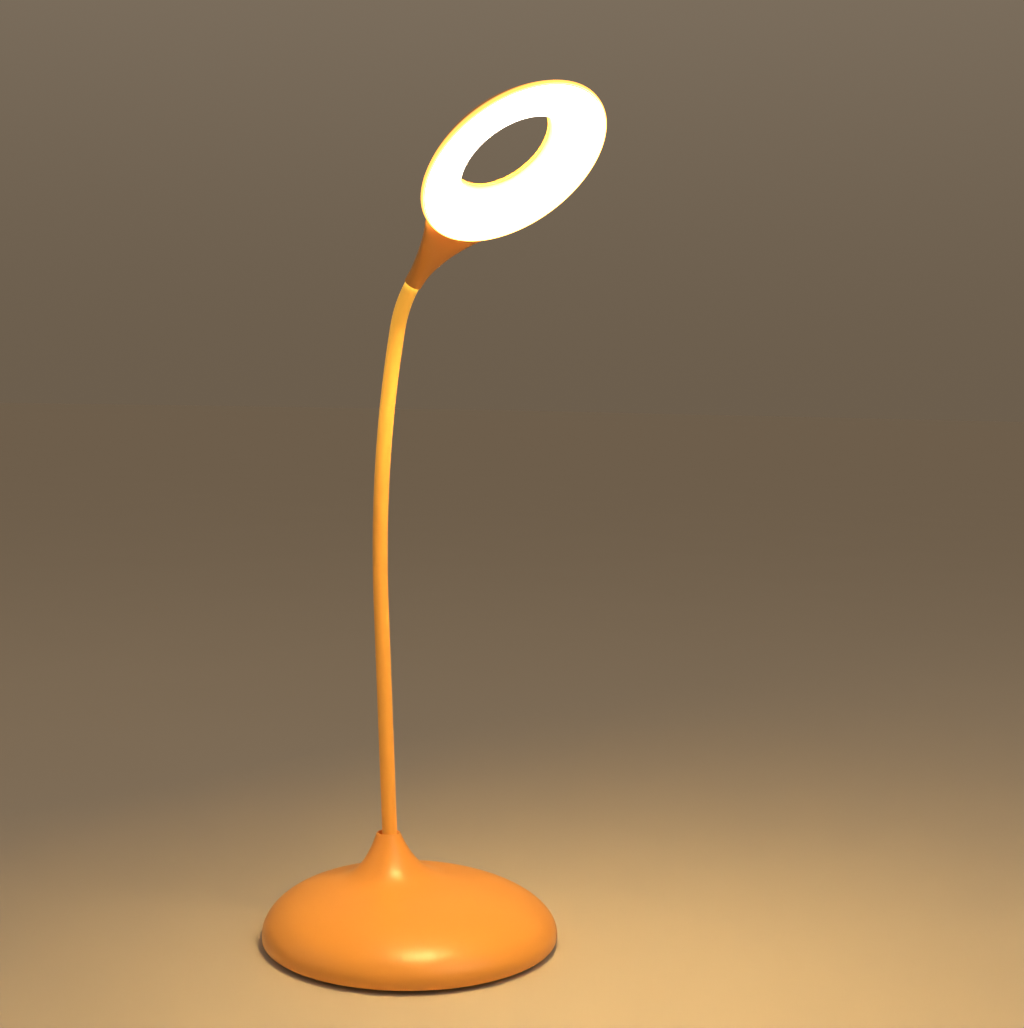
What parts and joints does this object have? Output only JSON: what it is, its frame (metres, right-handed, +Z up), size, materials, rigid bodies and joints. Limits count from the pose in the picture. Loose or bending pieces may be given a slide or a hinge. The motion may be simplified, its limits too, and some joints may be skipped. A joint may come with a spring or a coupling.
{
  "type": "gooseneck desk lamp",
  "caption": "Small desk lamp: a ring-shaped light head with a flared stem on a thin bendable neck, rising from the collar of a low pebble-shaped weighted base.",
  "frame": {"origin": "centre of the foot pad's underside, on the table", "axes": "+Z up, +X the way the head leans at rest"},
  "size_m": [0.1525, 0.13, 0.3618],
  "materials": {
    "shell": "glossy white",
    "foot_foam": "matte black foam",
    "plate": "matte white",
    "screw": "zinc plated",
    "weight": "raw steel",
    "cell": "foil pouch",
    "red_lead": "red insulation",
    "board": "green solder mask",
    "port": "drawn steel",
    "light": "clear red lens",
    "chip": "black moulded",
    "spring": "plated wire",
    "ferrule": "turned",
    "hose": "wound steel strip",
    "sleeve": "matte white silicone",
    "lead": "white insulation",
    "led_board": "white solder mask",
    "led": "yellow phosphor",
    "diffuser": "milky satin"
  },
  "bodies": {
    "base": {"foot_pad": "foot_foam", "base_plate": "plate", "base_screws": "screw", "counterweight": "weight", "weight_screws": "screw", "battery_cell": "cell", "battery_lead": "red_lead", "charge_board": "board", "charge_port": "port", "charge_light": "light", "charge_lead": "red_lead", "control_board": "board", "control_parts": "chip", "board_screws": "screw", "touch_spring": "spring", "base_shell": "shell", "neck_ferrule": "ferrule", "neck_washer": "screw", "neck_nut": "screw", "hose_root": "hose", "neck_sleeve": "sleeve", "lamp_lead": "lead"},
    "link_01": {"hose_01": "hose"},
    "link_02": {"hose_02": "hose"},
    "link_03": {"hose_03": "hose"},
    "link_04": {"hose_04": "hose"},
    "link_05": {"hose_05": "hose"},
    "link_06": {"hose_06": "hose"},
    "link_07": {"hose_07": "hose"},
    "link_08": {"hose_08": "hose"},
    "link_09": {"hose_09": "hose"},
    "link_10": {"hose_10": "hose"},
    "head": {"hose_tip": "hose", "head_ferrule": "ferrule", "head_shell": "shell", "led_board": "led_board", "led_chips": "led", "led_screws": "screw", "diffuser": "diffuser"}
  },
  "joints": [
    {"name": "pitch_00", "type": "hinge", "parent": "base", "child": "link_01", "pos_m": [-0.01531, 0, 0.05247], "axis": [0, 1, 0], "range_deg": [-16, 16], "deforming": ["neck_sleeve", "lamp_lead"]},
    {"name": "roll_01", "type": "hinge", "parent": "link_01", "child": "link_02", "pos_m": [-0.01714, 0, 0.07615], "axis": [1, 0, 0], "range_deg": [-16, 16]},
    {"name": "pitch_02", "type": "hinge", "parent": "link_02", "child": "link_03", "pos_m": [-0.01896, 0, 0.09983], "axis": [0, 1, 0], "range_deg": [-16, 16]},
    {"name": "roll_03", "type": "hinge", "parent": "link_03", "child": "link_04", "pos_m": [-0.02078, 0, 0.12351], "axis": [1, 0, 0], "range_deg": [-16, 16]},
    {"name": "pitch_04", "type": "hinge", "parent": "link_04", "child": "link_05", "pos_m": [-0.0226, 0, 0.14719], "axis": [0, 1, 0], "range_deg": [-16, 16]},
    {"name": "roll_05", "type": "hinge", "parent": "link_05", "child": "link_06", "pos_m": [-0.02376, 0, 0.17166], "axis": [1, 0, 0], "range_deg": [-16, 16]},
    {"name": "pitch_06", "type": "hinge", "parent": "link_06", "child": "link_07", "pos_m": [-0.02346, 0, 0.19615], "axis": [0, 1, 0], "range_deg": [-16, 16]},
    {"name": "roll_07", "type": "hinge", "parent": "link_07", "child": "link_08", "pos_m": [-0.02171, 0, 0.22059], "axis": [1, 0, 0], "range_deg": [-16, 16]},
    {"name": "pitch_08", "type": "hinge", "parent": "link_08", "child": "link_09", "pos_m": [-0.01851, 0, 0.24487], "axis": [0, 1, 0], "range_deg": [-16, 16]},
    {"name": "roll_09", "type": "hinge", "parent": "link_09", "child": "link_10", "pos_m": [-0.01388, 0, 0.26893], "axis": [1, 0, 0], "range_deg": [-16, 16]},
    {"name": "pitch_10", "type": "hinge", "parent": "link_10", "child": "head", "pos_m": [-0.00894, 0, 0.28143], "axis": [0, 1, 0], "range_deg": [-16, 16]}
  ],
  "couplings": [
    {"joint": "pitch_02", "follows": "pitch_00", "ratio": 1},
    {"joint": "roll_03", "follows": "roll_01", "ratio": 1},
    {"joint": "pitch_04", "follows": "pitch_00", "ratio": 1},
    {"joint": "roll_07", "follows": "roll_05", "ratio": 1},
    {"joint": "pitch_08", "follows": "pitch_06", "ratio": 1},
    {"joint": "roll_09", "follows": "roll_05", "ratio": 1},
    {"joint": "pitch_10", "follows": "pitch_06", "ratio": 1}
  ]
}
